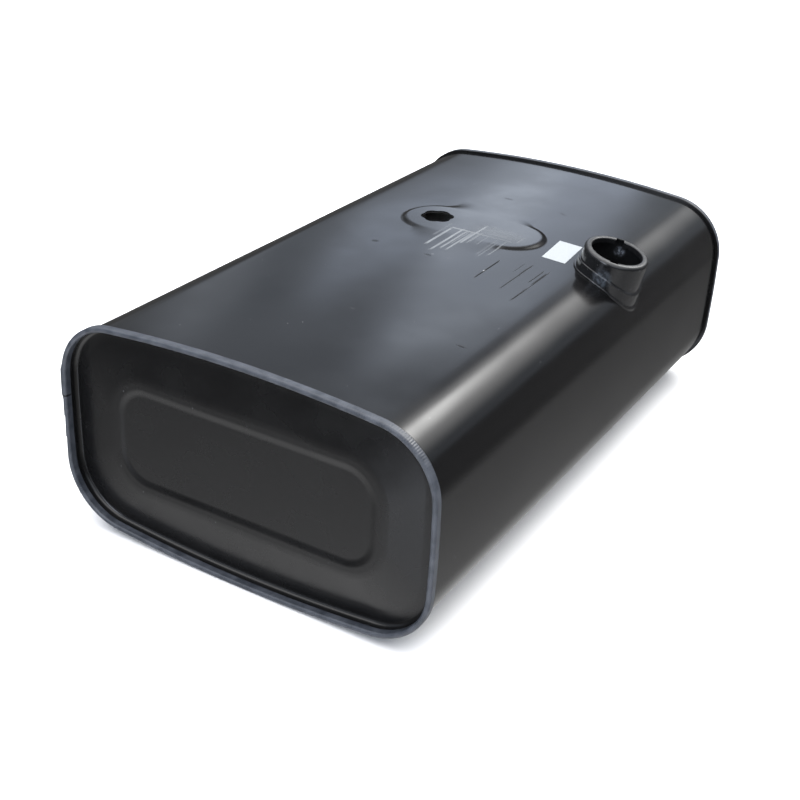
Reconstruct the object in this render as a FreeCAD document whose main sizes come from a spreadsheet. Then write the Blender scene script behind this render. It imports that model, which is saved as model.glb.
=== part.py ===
"""Sheet-steel truck fuel tank, millimetres, +Z up, origin at the centre of the base.

X runs along the tank, Y across it, and the filler neck sits over the corner at -Y.
The section is a rounded rectangle with bowed sides, built from eight tangent arcs.
Depths into an end are measured from the outer face of its rim.
"""

import FreeCAD, Part
import math
import os
from types import SimpleNamespace

import Sketcher
from FreeCAD import Placement, Rotation, Vector

SIZES = [
    ("tank_length", 1042.0, "over both rims"),
    ("tank_width", 620.0, "over the rims, at mid height"),
    ("tank_height", 350.0, "over the rims, at mid width"),
    ("crown_bow", 22.3, "bow of the top and the bottom over the rim's whole width"),
    ("side_bow", 6.8, "bow of the two sides over the rim's whole height"),
    ("corner_radius", 99.0, "rounded corners, at the rim"),
    ("sheet", 1.6, "thickness of the shell and the end plates"),
    ("seam_depth", 13.0, "width of the folded seam along the tank"),
    ("nose_radius", 3.2, "rounding of the seam's outer fold"),
    ("heel_radius", 1.2, "rounding of the seam's inward edge"),
    ("recess_depth", 22.0, "rim face to the low zone of the end plate"),
    ("foot_radius", 6.0, "end plate wall into its low zone"),
    ("swell_margin", 14.0, "end plate wall to the start of the swell"),
    ("swell_rise", 8.0, "height of the swell round the panel"),
    ("swell_blend", 100.0, "soft start of the swell"),
    ("crest_width", 14.0, "ring on top of the swell"),
    ("crest_blend", 70.0, "rounding of the swell's outer crest"),
    ("panel_side_inset", 95.0, "rim to the sunk panel, across the tank"),
    ("panel_top_inset", 97.0, "rim to the sunk panel, up and down"),
    ("panel_roundness", 0.64, "corner radius of the sunk panel as a share of its half height"),
    ("panel_depth", 1.8, "crest down to the panel's floor"),
    ("panel_slope", 9.0, "width of the panel's sloping edge"),
    ("panel_blend", 20.0, "rounding at both ends of that edge"),
    ("lap_drop", 120.0, "rim's top down to the lapped seam on the back"),
    ("lap_width", 18.0, "width of the lap on the back"),
    ("lap_bulge", 40.0, "width of the bulge it leaves in the rim"),
    ("pad_x", 132.0, "centre of the sender pad along the tank"),
    ("pad_near_inset", 190.3, "rim's side at -Y to the sender pad"),
    ("pad_far_inset", 188.6, "rim's side at +Y to the sender pad"),
    ("pad_width", 108.0, "sender pad, along the tank"),
    ("pad_lift", 0.3, "pad above the crown's highest line"),
    ("pad_drop", 8.0, "depth over which the pad's edge slopes"),
    ("pad_taper", 65.0, "lean of that edge from upright"),
    ("sender_along", 2.0, "pad's centre to the sender hole, along the tank"),
    ("sender_inset", 50.7, "pad's end at +Y to the centre of the sender hole"),
    ("sender_turn", 60.0, "turn of the first lobe from +X"),
    ("sender_bore", 25.2, "radius of the sender hole between its lobes"),
    ("lobe_radius", 14.0, "radius of one lobe"),
    ("lobe_reach", 28.2, "centre of the hole to the tip of a lobe"),
    ("ring_radius", 35.0, "outer radius of the ring under the hole"),
    ("ring_thickness", 2.5, "thickness of that ring"),
    ("neck_x", 126.0, "centre of the neck's mouth along the tank"),
    ("neck_side_inset", 52.2, "rim's side to the centre of the neck's mouth"),
    ("neck_rise", 15.8, "neck's mouth above the rim's top"),
    ("neck_tilt", 12.5, "lean of the neck towards -Y"),
    ("neck_radius", 52.0, "outside of the neck"),
    ("neck_wall", 2.0, "wall of the neck and its lip"),
    ("neck_stub", 6.0, "neck inside the shell's sheet"),
    ("mouth_radius", 41.2, "free opening inside the lip"),
    ("lip_depth", 9.0, "length of the lip's inner collar"),
    ("lip_outer_round", 6.0, "rounding of the mouth outside"),
    ("lip_inner_round", 2.5, "rounding of the mouth inside"),
    ("notch_width", 13.0, "width of a bayonet notch"),
    ("notch_reach", 46.0, "neck axis to the back of a notch"),
    ("notch_turn", 17.0, "turn of the notches from +X"),
    ("collar_radius", 55.5, "outside of the collar at the neck's foot"),
    ("collar_height", 16.5, "collar above the shell's sheet"),
    ("collar_round", 1.5, "rounding of the collar's upper edge"),
    ("foot_ring_radius", 58.5, "outside of the low step round the collar's foot"),
    ("foot_ring_height", 2.5, "that step above the shell's sheet"),
    ("foot_ring_round", 1.2, "rounding of the step's upper edge"),
    ("fit_gap", 0.1, "play between the neck and what holds it"),
    ("baffle_x", 200.0, "tank centre to the web of a baffle"),
    ("baffle_sheet", 1.2, "thickness of a baffle"),
    ("baffle_flange", 20.0, "length of a baffle's flange"),
    ("baffle_bend", 5.0, "inner bend between its web and flange"),
    ("baffle_hole", 55.0, "radius of a baffle's holes"),
    ("baffle_hole_pitch", 160.0, "spacing of those holes"),
    ("baffle_notch", 25.0, "radius of its notches at the top and the bottom"),
    ("drain_x", -60.0, "centre of the drain along the tank"),
    ("drain_radius", 18.0, "outside of the drain boss"),
    ("drain_height", 18.0, "height of the drain boss"),
    ("drain_proud", 0.8, "drain boss below the shell's sheet"),
    ("drain_bore", 11.0, "radius of the boss's thread"),
    ("plug_head_radius", 15.0, "drain plug's head"),
    ("plug_head", 2.2, "thickness of that head"),
    ("plug_shank", 12.0, "length of the plug's thread"),
    ("plug_play", 0.05, "play of the plug in its thread and of the boss in its hole"),
    ("plug_key", 12.0, "across the flats of the plug's key hole"),
    ("plug_key_depth", 8.0, "depth of that key hole"),
    ("washer_thickness", 1.2, "sealing washer of the drain"),
    ("washer_gap", 0.3, "washer's bore clear of the plug"),
    ("label_x", 131.5, "centre of the label along the tank"),
    ("label_side_inset", 146.8, "rim's side to the centre of the label"),
    ("label_length", 82.0, "label along the tank"),
    ("label_width", 39.5, "label across the tank"),
    ("label_turn", 4.3, "turn of the label about the vertical"),
    ("label_thickness", 0.2, "thickness of the label"),
    ("label_glue", 0.1, "film of glue under the label"),
]

LOBES = 6
REAR, FRONT = 1, -1
FLANK_RUN = 3
TOUCH = 1e-3


class Size:
    """A length together with the sheet expression that it comes from."""

    def __init__(self, value, text):
        self.value = value
        self.text = text

    def __add__(self, other):
        other = as_size(other)
        return Size(self.value + other.value, f"({self.text} + {other.text})")

    def __sub__(self, other):
        other = as_size(other)
        return Size(self.value - other.value, f"({self.text} - {other.text})")

    def __mul__(self, other):
        other = as_size(other)
        return Size(self.value * other.value, f"({self.text} * {other.text})")

    def __truediv__(self, other):
        other = as_size(other)
        return Size(self.value / other.value, f"({self.text} / {other.text})")

    __rmul__ = __mul__


def as_size(number):
    """Turn a plain number into a Size, and leave a Size alone."""
    return number if isinstance(number, Size) else Size(number, str(number))


def sine(angle):
    return Size(math.sin(math.radians(angle.value)), f"sin({angle.text})")


def cosine(angle):
    return Size(math.cos(math.radians(angle.value)), f"cos({angle.text})")


def bow_radius(chord, bow):
    """Radius of an arc that rises by bow over a chord."""
    half = chord / 2
    return (half * half + bow * bow) / (bow * 2)


doc = FreeCAD.newDocument("fuel_tank")
sheet = doc.addObject("Spreadsheet::Sheet", "sizes")


def fill_sheet():
    """Write every driving size into the sheet and give back the same names as Sizes."""
    for row, (alias, value, meaning) in enumerate(SIZES, start=1):
        sheet.set(f"A{row}", meaning)
        sheet.set(f"B{row}", str(value))
        sheet.setAlias(f"B{row}", alias)
    doc.recompute()
    return SimpleNamespace(**{a: Size(sheet.get(a), f"sizes.{a}") for a, _, _ in SIZES})


s = fill_sheet()
NONE = Size(0.0, "0")
MIDDLE = s.tank_height / 2
LAP_HEIGHT = s.tank_height - s.lap_drop
CROWN_RADIUS = bow_radius(s.tank_width, s.crown_bow)
SIDE_RADIUS = bow_radius(s.tank_height, s.side_bow)
SHELL_OUTSIDE = 3 * s.sheet
SHELL_INSIDE = 4 * s.sheet
PLATE_WALL_INSIDE = 5 * s.sheet
PAD_TOP = s.tank_height - SHELL_OUTSIDE + s.pad_lift
PAD_LENGTH = s.tank_width - s.pad_near_inset - s.pad_far_inset
PAD_Y = (s.pad_near_inset - s.pad_far_inset) / 2
PAD_SHRINK = (sine(s.pad_taper) * -1 + 1) / cosine(s.pad_taper) * 2 * s.sheet
SENDER_X = s.pad_x + s.sender_along
SENDER_Y = s.tank_width / 2 - s.pad_far_inset - s.sender_inset
LABEL_Y = s.label_side_inset - s.tank_width / 2
NECK_MOUTH = (s.neck_x, s.neck_side_inset - s.tank_width / 2, s.tank_height + s.neck_rise)
NECK_LENGTH = s.corner_radius + s.neck_rise
DRAIN_FACE = SHELL_OUTSIDE - s.drain_proud
PLUG_FACE = DRAIN_FACE - s.washer_thickness - s.plug_head
PANEL_HALF_WIDTH = s.tank_width / 2 - s.panel_side_inset
PANEL_HALF_HEIGHT = s.tank_height / 2 - s.panel_top_inset
PANEL_CORNER = PANEL_HALF_HEIGHT * s.panel_roundness


def new_body(label):
    """An empty body whose label names its file."""
    body = doc.addObject("PartDesign::Body", label)
    body.Label = label
    return body


def bind(thing, path, size):
    """Tie one property of an object to the sheet."""
    thing.setExpression(path, size.text)


def sketch_on(body, name, role, offset=None):
    """A sketch on one of the body's own origin planes, moved along the plane's normal."""
    sketch = body.newObject("Sketcher::SketchObject", name)
    plane = next(f for f in body.Origin.OriginFeatures if f.Role == role)
    sketch.AttachmentSupport = [(plane, "")]
    sketch.MapMode = "FlatFace"
    if offset is not None:
        sketch.AttachmentOffset = Placement(Vector(0, 0, offset.value), Rotation())
        bind(sketch, "AttachmentOffset.Base.z", offset)
    return sketch


def sketch_at(body, name, centre, axis=Vector(0, 0, 1), turn=None):
    """A sketch on the XY plane with its origin at a centre, turned about an axis."""
    sketch = sketch_on(body, name, "XY_Plane")
    angle = turn.value if turn else 0
    place = Vector(*[c.value for c in centre])
    sketch.AttachmentOffset = Placement(place, Rotation(axis, angle))
    for letter, size in zip("xyz", centre):
        bind(sketch, f"AttachmentOffset.Base.{letter}", size)
    if turn:
        bind(sketch, "AttachmentOffset.Rotation.Angle", turn)
    return sketch


def drive(sketch, kind, *where_and_size):
    """Add a dimension to a sketch and bind it to the sheet."""
    *where, size = where_and_size
    index = sketch.addConstraint(Sketcher.Constraint(kind, *where, size.value))
    bind(sketch, f"Constraints[{index}]", size)


def join_tangent(sketch, first, count):
    """Join a closed chain of edges end to start, each tangent to the next."""
    for step in range(count):
        following = first + (step + 1) % count
        sketch.addConstraint(Sketcher.Constraint("Tangent", first + step, 2, following, 1))


def add_arc(sketch, centre, radius, start, end):
    circle = Part.Circle(Vector(centre[0], centre[1], 0), Vector(0, 0, 1), radius)
    return sketch.addGeometry(Part.ArcOfCircle(circle, start, end), False)


def corner_centre():
    """Centre of a corner arc, from the section's centre, tangent inside both bows."""
    crown = (0.0, s.tank_height.value / 2 - CROWN_RADIUS.value)
    side = (s.tank_width.value / 2 - SIDE_RADIUS.value, 0.0)
    reach_crown = CROWN_RADIUS.value - s.corner_radius.value
    reach_side = SIDE_RADIUS.value - s.corner_radius.value
    span = math.dist(crown, side)
    along = (reach_crown ** 2 - reach_side ** 2 + span ** 2) / (2 * span)
    across = math.sqrt(reach_crown ** 2 - along ** 2)
    ux, uy = (side[0] - crown[0]) / span, (side[1] - crown[1]) / span
    found = (crown[0] + along * ux + across * uy, crown[1] + along * uy - across * ux)
    return crown, side, found


def add_section(sketch, inset):
    """The tank's section moved inwards by inset, as eight tangent arcs."""
    crown, side, corner = corner_centre()
    up = math.atan2(corner[1] - crown[1], corner[0] - crown[0])
    low = math.atan2(corner[1] - side[1], corner[0] - side[0])
    half_turn = math.pi
    mid = MIDDLE.value
    first = sketch.GeometryCount
    for turn in (0, 1):
        sign = 1 - 2 * turn
        base = turn * half_turn
        add_arc(sketch, (0, mid + sign * crown[1]), CROWN_RADIUS.value - inset.value,
                base + up, base + half_turn - up)
        add_arc(sketch, (-sign * corner[0], mid + sign * corner[1]), s.corner_radius.value - inset.value,
                base + half_turn - up, base + half_turn - low)
        add_arc(sketch, (-sign * side[0], mid), SIDE_RADIUS.value - inset.value,
                base + half_turn - low, base + half_turn + low)
        add_arc(sketch, (-sign * corner[0], mid - sign * corner[1]), s.corner_radius.value - inset.value,
                base + half_turn + low, base + half_turn + up)
    join_tangent(sketch, first, 8)
    for crown_arc in (first, first + 4):
        drive(sketch, "Radius", crown_arc, CROWN_RADIUS - inset)
        sketch.addConstraint(Sketcher.Constraint("PointOnObject", crown_arc, 3, -2))
    drive(sketch, "DistanceY", first, 3, -1, 1, CROWN_RADIUS - s.tank_height)
    drive(sketch, "DistanceY", -1, 1, first + 4, 3, CROWN_RADIUS)
    for side_arc in (first + 2, first + 6):
        drive(sketch, "Radius", side_arc, SIDE_RADIUS - inset)
        drive(sketch, "DistanceY", -1, 1, side_arc, 3, MIDDLE)
    drive(sketch, "DistanceX", -1, 1, first + 2, 3, SIDE_RADIUS - s.tank_width / 2)
    drive(sketch, "DistanceX", first + 6, 3, -1, 1, SIDE_RADIUS - s.tank_width / 2)
    for corner_arc in (first + 1, first + 3, first + 5, first + 7):
        drive(sketch, "Radius", corner_arc, s.corner_radius - inset)


def add_rounded_rectangle(sketch, half_width, half_height, corner, middle):
    """A rectangle with round corners, centred on the vertical axis at height middle."""
    w, h, r, z = half_width.value, half_height.value, corner.value, middle.value
    first = sketch.GeometryCount
    corners = [(w, h), (-w, h), (-w, -h), (w, -h)]
    inward = [(-1, -1), (1, -1), (1, 1), (-1, 1)]
    quarter = math.pi / 2
    for k in range(4):
        cx, cy = corners[k][0] + inward[k][0] * r, z + corners[k][1] + inward[k][1] * r
        add_arc(sketch, (cx, cy), r, k * quarter, (k + 1) * quarter)
        nx = corners[(k + 1) % 4][0] + inward[(k + 1) % 4][0] * r
        ny = z + corners[(k + 1) % 4][1] + inward[(k + 1) % 4][1] * r
        start = Vector(cx + r * math.cos((k + 1) * quarter), cy + r * math.sin((k + 1) * quarter), 0)
        end = Vector(nx + r * math.cos((k + 1) * quarter), ny + r * math.sin((k + 1) * quarter), 0)
        sketch.addGeometry(Part.LineSegment(start, end), False)
    join_tangent(sketch, first, 8)
    for k in range(4):
        drive(sketch, "Radius", first + 2 * k, corner)
    for line, kind in ((1, "Horizontal"), (3, "Vertical"), (5, "Horizontal"), (7, "Vertical")):
        sketch.addConstraint(Sketcher.Constraint(kind, first + line))
    drive(sketch, "DistanceY", -1, 1, first + 1, 1, middle + half_height)
    drive(sketch, "DistanceX", first + 3, 1, -1, 1, half_width)
    drive(sketch, "DistanceY", -1, 1, first + 5, 1, middle - half_height)
    drive(sketch, "DistanceX", -1, 1, first + 7, 1, half_width)


def add_obround(sketch, length, width):
    """A stadium along the sketch's vertical axis, centred on its origin."""
    half = (length - width) / 2
    r = width.value / 2
    first = add_arc(sketch, (0, half.value), r, 0, math.pi)
    sketch.addGeometry(Part.LineSegment(Vector(-r, half.value, 0), Vector(-r, -half.value, 0)), False)
    add_arc(sketch, (0, -half.value), r, math.pi, 2 * math.pi)
    sketch.addGeometry(Part.LineSegment(Vector(r, -half.value, 0), Vector(r, half.value, 0)), False)
    join_tangent(sketch, first, 4)
    for arc in (first, first + 2):
        sketch.addConstraint(Sketcher.Constraint("PointOnObject", arc, 3, -2))
    for arc in (first, first + 2):
        drive(sketch, "Radius", arc, width / 2)
    drive(sketch, "DistanceY", -1, 1, first, 3, half)
    drive(sketch, "DistanceY", first + 2, 3, -1, 1, half)


def add_circle(sketch, radius, x=None, y=None):
    """A circle about the sketch's origin, or at a distance along its two axes."""
    centre = Vector(x.value if x else 0, y.value if y else 0, 0)
    circle = sketch.addGeometry(Part.Circle(centre, Vector(0, 0, 1), radius.value), False)
    drive(sketch, "Radius", circle, radius)
    for kind, size, axis in (("DistanceX", x, -2), ("DistanceY", y, -1)):
        if size:
            drive(sketch, kind, -1, 1, circle, 3, size)
        else:
            sketch.addConstraint(Sketcher.Constraint("PointOnObject", circle, 3, axis))


def add_polygon(sketch, corners):
    """A closed polygon from pairs of Sizes, each corner held by its two distances."""
    first = sketch.GeometryCount
    count = len(corners)
    spots = [Vector(x.value, y.value, 0) for x, y in corners]
    for k in range(count):
        sketch.addGeometry(Part.LineSegment(spots[k], spots[(k + 1) % count]), False)
    for k in range(count):
        following = first + (k + 1) % count
        sketch.addConstraint(Sketcher.Constraint("Coincident", first + k, 2, following, 1))
        drive(sketch, "DistanceX", -1, 1, first + k, 1, corners[k][0])
        drive(sketch, "DistanceY", -1, 1, first + k, 1, corners[k][1])


def add_rectangle(sketch, length, width, turn):
    """A rectangle centred on the sketch's origin, with its length turned from the first axis."""
    corners = []
    for x, y in ((1, 1), (-1, 1), (-1, -1), (1, -1)):
        along, across = length * (x / 2), width * (y / 2)
        corners.append((along * cosine(turn) - across * sine(turn),
                        along * sine(turn) + across * cosine(turn)))
    add_polygon(sketch, corners)


def add_hexagon(sketch, across_flats):
    """A regular hexagon centred on the sketch's origin."""
    corners = []
    for k in range(6):
        angle = math.radians(60 * k + 30)
        reach = across_flats / math.sqrt(3)
        corners.append((reach * math.cos(angle), reach * math.sin(angle)))
    add_polygon(sketch, corners)


def extrude(kind, sketch, length, forward=True, taper=None, both=False):
    """Pad or pocket a sketch along its normal when forward, or against it."""
    body = sketch.getParentGeoFeatureGroup()
    feature = body.newObject(f"PartDesign::{kind}", f"{sketch.Name}_{kind.lower()}")
    feature.Profile = sketch
    feature.Length = length.value
    bind(feature, "Length", length)
    feature.Reversed = forward == (kind == "Pocket")
    feature.Midplane = both
    if taper:
        feature.TaperAngle = taper.value
        bind(feature, "TaperAngle", taper)
    body.Tip = feature
    return feature


def blend(body, feature, edges, radius):
    """Round some edges of a body's last feature."""
    doc.recompute()
    names = [f"Edge{k}" for k, edge in enumerate(feature.Shape.Edges, start=1) if edges(edge)]
    fillet = body.newObject("PartDesign::Fillet", f"{feature.Name}_round")
    fillet.Base = (feature, names)
    fillet.Radius = radius.value
    bind(fillet, "Radius", radius)
    body.Tip = fillet
    return fillet


def lies_at_x(edge, x):
    """True for an edge that lies in the plane at x."""
    box = edge.BoundBox
    return abs(box.XMin - x) < TOUCH and abs(box.XMax - x) < TOUCH


def make_ring(kind, sketch, radius, length, forward=False, bore=None):
    """Pad or pocket a disc, or a ring when it has a bore, about the sketch's origin."""
    add_circle(sketch, radius)
    if bore:
        add_circle(sketch, bore)
    return extrude(kind, sketch, length, forward)


def spots_on(edge):
    """Three points along an edge."""
    start, span = edge.FirstParameter, edge.LastParameter - edge.FirstParameter
    return [edge.valueAt(start + part * span) for part in (0.1, 0.5, 0.9)]


def lies_near(sketch, spot):
    """True for a point on a sketch's outline."""
    return sketch.Shape.distToShape(Part.Vertex(spot))[0] < TOUCH


def lies_on(sketch):
    """A test for edges that follow a sketch's outline."""
    return lambda edge: all(lies_near(sketch, spot) for spot in spots_on(edge))


def at_depth(side, depth):
    """The X of a plane that lies depth inside the rim of one end."""
    return (s.tank_length / 2 - depth) * side


def cut_inside(body, inset):
    """Take away all that lies deeper than inset from the rim's outline."""
    inside = sketch_on(body, "inside", "YZ_Plane")
    add_section(inside, inset)
    return extrude("Pocket", inside, s.tank_length, both=True)


def cut_outside(body, inset):
    """Take away all that lies less deep than inset from the rim's outline."""
    outside = sketch_on(body, "outside", "YZ_Plane")
    add_section(outside, inset)
    add_section(outside, s.tank_height * -1)
    return extrude("Pocket", outside, s.tank_length, both=True)


def side_ridge(body, name, x, low, high, half_width, length, forward):
    """A ridge along X on the back wall, between two insets, with sloping flanks."""
    sketch = sketch_on(body, name, "YZ_Plane", x)
    centre = (s.tank_width.value / 2 - SIDE_RADIUS.value, MIDDLE.value)
    middle = LAP_HEIGHT.value - MIDDLE.value
    first = sketch.GeometryCount
    flank = low - high
    for inset, half in ((high, half_width), (low, half_width + flank * FLANK_RUN)):
        radius = SIDE_RADIUS.value - inset.value
        start = math.asin((middle - half.value) / radius)
        end = math.asin((middle + half.value) / radius)
        add_arc(sketch, centre, radius, start, end)
    outer, inner = first, first + 1
    for point in (1, 2):
        tip = sketch.getPoint(outer, point)
        foot = sketch.getPoint(inner, point)
        flank_line = sketch.addGeometry(Part.LineSegment(tip, foot), False)
        sketch.addConstraint(Sketcher.Constraint("Coincident", flank_line, 1, outer, point))
        sketch.addConstraint(Sketcher.Constraint("Coincident", flank_line, 2, inner, point))
    for arc, inset, half in ((outer, high, half_width), (inner, low, half_width + flank * FLANK_RUN)):
        drive(sketch, "Radius", arc, SIDE_RADIUS - inset)
        drive(sketch, "DistanceX", arc, 3, -1, 1, SIDE_RADIUS - s.tank_width / 2)
        drive(sketch, "DistanceY", -1, 1, arc, 3, MIDDLE)
        drive(sketch, "DistanceY", -1, 1, arc, 1, LAP_HEIGHT - half)
        drive(sketch, "DistanceY", -1, 1, arc, 2, LAP_HEIGHT + half)
    return extrude("Pad", sketch, length, forward)


def fold_shell_edge(body, side):
    """The shell's edge turned out and back, to hook into the end plate's fold."""
    inward = side == FRONT
    tag = "front" if side == FRONT else "rear"
    hook = sketch_on(body, f"hook_{tag}", "YZ_Plane", at_depth(side, s.sheet))
    add_section(hook, s.sheet)
    extrude("Pad", hook, s.seam_depth - 2 * s.sheet, inward)
    side_ridge(body, f"hook_lap_{tag}", at_depth(side, 2 * s.sheet), 2 * s.sheet, NONE,
               s.lap_bulge / 2 - s.sheet, s.seam_depth - 4 * s.sheet, inward)
    gap = sketch_on(body, f"hook_gap_{tag}", "YZ_Plane", at_depth(side, 2 * s.sheet))
    add_section(gap, 2 * s.sheet)
    add_section(gap, SHELL_OUTSIDE)
    extrude("Pocket", gap, s.seam_depth - 3 * s.sheet, inward)


def press_sender_pad(body, top, length, width, kind):
    """The flat raised pad, or the same form one sheet lower as the space under it."""
    sketch = sketch_at(body, f"pad_{kind.lower()}", (s.pad_x, PAD_Y, top))
    add_obround(sketch, length, width)
    extrude(kind, sketch, s.pad_drop, forward=False, taper=s.pad_taper)


def cut_sender_hole(body, top, depth):
    """The bayonet hole: a round bore with lobes spaced evenly about it."""
    bore = sketch_at(body, "sender_bore", (SENDER_X, SENDER_Y, top), turn=s.sender_turn)
    add_circle(bore, s.sender_bore)
    extrude("Pocket", bore, depth, forward=False)
    lobe = sketch_at(body, "sender_lobe", (SENDER_X, SENDER_Y, top), turn=s.sender_turn)
    add_circle(lobe, s.lobe_radius, x=s.lobe_reach - s.lobe_radius)
    cut = extrude("Pocket", lobe, depth, forward=False)
    doc.recompute()
    around = body.newObject("PartDesign::PolarPattern", "sender_lobes")
    around.Originals = [cut]
    around.Axis = (bore, ["N_Axis"])
    around.Angle = 360
    around.Occurrences = LOBES
    body.Tip = around


def neck_sketch(body, name, depth=NONE):
    """A sketch across the neck's axis, with its origin on that axis and depth below the mouth."""
    x, y, z = NECK_MOUTH
    centre = (x, y + depth * sine(s.neck_tilt), z - depth * cosine(s.neck_tilt))
    return sketch_at(body, name, centre, axis=Vector(1, 0, 0), turn=s.neck_tilt)


def off_neck_axis(point):
    """How far a point is from the neck's axis."""
    mouth = Vector(*[c.value for c in NECK_MOUTH])
    axis = Rotation(Vector(1, 0, 0), s.neck_tilt.value).multVec(Vector(0, 0, 1))
    return (point - mouth).cross(axis).Length


def drain_sketch(body, name, height):
    """A level sketch with its origin on the drain's axis."""
    return sketch_at(body, name, (s.drain_x, NONE, height))


def make_shell():
    """One wrapped sheet: hooked edges, lapped seam on the back, pad, neck hole and drain hole."""
    body = new_body("shell")
    outside = sketch_on(body, "outside", "YZ_Plane")
    add_section(outside, SHELL_OUTSIDE)
    extrude("Pad", outside, s.tank_length - 2 * s.sheet, both=True)
    fold_shell_edge(body, FRONT)
    fold_shell_edge(body, REAR)
    side_ridge(body, "lap", at_depth(FRONT, s.seam_depth), SHELL_OUTSIDE + s.sheet / 2, 2 * s.sheet,
               s.lap_width / 2, s.tank_length - 2 * s.seam_depth, True)
    press_sender_pad(body, PAD_TOP, PAD_LENGTH, s.pad_width, "Pad")
    cut_inside(body, SHELL_INSIDE)
    press_sender_pad(body, PAD_TOP - s.sheet, PAD_LENGTH - PAD_SHRINK, s.pad_width - PAD_SHRINK,
                     "Pocket")
    cut_sender_hole(body, PAD_TOP, 2 * s.sheet)
    make_ring("Pocket", neck_sketch(body, "neck_hole"), s.neck_radius + s.fit_gap, NECK_LENGTH)
    make_ring("Pocket", drain_sketch(body, "drain_hole", NONE), s.drain_radius + s.plug_play,
              s.drain_height, forward=True)
    return body


def panel_sketch(body, name, x, grow):
    """The sunk panel's outline, larger by grow on every side."""
    sketch = sketch_on(body, name, "YZ_Plane", x)
    add_rounded_rectangle(sketch, PANEL_HALF_WIDTH + grow, PANEL_HALF_HEIGHT + grow,
                          PANEL_CORNER + grow, MIDDLE)
    return sketch


def loft(body, name, kind, first, last, first_blend, last_blend):
    """Blend one sketch into another, adding or cutting, and round both of its edges."""
    feature = body.newObject(f"PartDesign::{kind}Loft", name)
    feature.Profile = first
    feature.Sections = [last]
    body.Tip = feature
    first_round = blend(body, feature, lies_on(first), first_blend)
    return blend(body, first_round, lies_on(last), last_blend)


def swell(body, side, lift, kind):
    """The soft rise round the panel, on the outer face, or one sheet deeper on the inner."""
    tag = f"{kind.lower()}_swell"
    foot = sketch_on(body, f"{tag}_foot", "YZ_Plane", at_depth(side, s.recess_depth + lift))
    add_section(foot, PLATE_WALL_INSIDE + s.swell_margin)
    crest = panel_sketch(body, f"{tag}_crest", at_depth(side, s.recess_depth + lift - s.swell_rise),
                         s.crest_width)
    loft(body, tag, kind, foot, crest, s.swell_blend, s.crest_blend)


def sunk_panel(body, side, lift, kind):
    """The panel's sloping edge and floor, on the outer face or one sheet deeper."""
    tag = f"{kind.lower()}_panel"
    crest_depth = s.recess_depth + lift - s.swell_rise
    top = panel_sketch(body, f"{tag}_top", at_depth(side, crest_depth), NONE)
    floor = panel_sketch(body, f"{tag}_floor", at_depth(side, crest_depth + s.panel_depth),
                         s.panel_slope * -1)
    loft(body, tag, kind, top, floor, s.panel_blend, s.panel_blend)


def make_end_plate(label, side, shell):
    """A dished end with a swell and a sunk panel, folded over the shell's edge."""
    inward = side == FRONT
    body = new_body(f"{label}_pressing")
    rim = sketch_on(body, "rim", "YZ_Plane", at_depth(side, NONE))
    add_section(rim, NONE)
    fold = extrude("Pad", rim, s.seam_depth, inward)
    blend(body, fold, lambda e: lies_at_x(e, at_depth(side, s.seam_depth).value), s.heel_radius)
    wall = sketch_on(body, "wall", "YZ_Plane", at_depth(side, s.sheet))
    add_section(wall, SHELL_INSIDE)
    extrude("Pad", wall, s.recess_depth, inward)
    mouth = sketch_on(body, "mouth", "YZ_Plane", at_depth(side, NONE))
    add_section(mouth, PLATE_WALL_INSIDE)
    recess = extrude("Pocket", mouth, s.recess_depth, inward)
    floor = at_depth(side, s.recess_depth).value
    foot = blend(body, recess, lambda e: lies_at_x(e, floor), s.foot_radius)
    rear = at_depth(side, s.recess_depth + s.sheet).value
    dish = blend(body, foot, lambda e: lies_at_x(e, rear), s.foot_radius + s.sheet)
    face = at_depth(side, NONE).value
    blend(body, dish, lambda e: lies_at_x(e, face), s.nose_radius)
    swell(body, side, NONE, "Additive")
    swell(body, side, s.sheet, "Subtractive")
    sunk_panel(body, side, s.sheet, "Additive")
    sunk_panel(body, side, NONE, "Subtractive")
    side_ridge(body, "rim_lap", at_depth(side, s.sheet), s.sheet, s.sheet * -1,
               s.lap_bulge / 2, s.seam_depth - 2 * s.sheet, inward)
    plate = doc.addObject("Part::Cut", label)
    plate.Base = body
    plate.Tool = shell
    plate.Label = label
    return plate


def lies_in_mouth(edge, radius, depth=NONE):
    """True for a circle across the neck, of one radius, at a depth below the mouth."""
    tilt = Rotation(Vector(1, 0, 0), s.neck_tilt.value)
    centre = Vector(*[c.value for c in NECK_MOUTH]) - tilt.multVec(Vector(0, 0, depth.value))
    curve = edge.Curve
    return (isinstance(curve, Part.Circle) and curve.Center.distanceToPoint(centre) < TOUCH
            and abs(curve.Radius - radius.value) < TOUCH)


def make_filler_neck():
    """The neck: tube, rolled lip, inner collar, two notches, and a foot that follows the shell."""
    body = new_body("filler_neck")
    tube = make_ring("Pad", neck_sketch(body, "tube"), s.neck_radius, NECK_LENGTH)
    blend(body, tube, lambda e: lies_in_mouth(e, s.neck_radius), s.lip_outer_round)
    bore_radius = s.neck_radius - s.neck_wall
    bore = make_ring("Pocket", neck_sketch(body, "tube_bore", s.neck_wall), bore_radius, NECK_LENGTH)
    blend(body, bore, lambda e: lies_in_mouth(e, bore_radius, s.neck_wall), s.lip_outer_round - s.neck_wall)
    make_ring("Pad", neck_sketch(body, "lip", s.neck_wall), s.mouth_radius + s.neck_wall,
              s.lip_depth - s.neck_wall)
    mouth = make_ring("Pocket", neck_sketch(body, "mouth"), s.mouth_radius, s.lip_depth)
    blend(body, mouth, lambda e: lies_in_mouth(e, s.mouth_radius), s.lip_inner_round)
    notches = neck_sketch(body, "notches")
    add_rectangle(notches, s.notch_reach * 2, s.notch_width, s.notch_turn)
    extrude("Pocket", notches, s.lip_depth, forward=False)
    cut_inside(body, SHELL_INSIDE + s.neck_stub)
    return body


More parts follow.
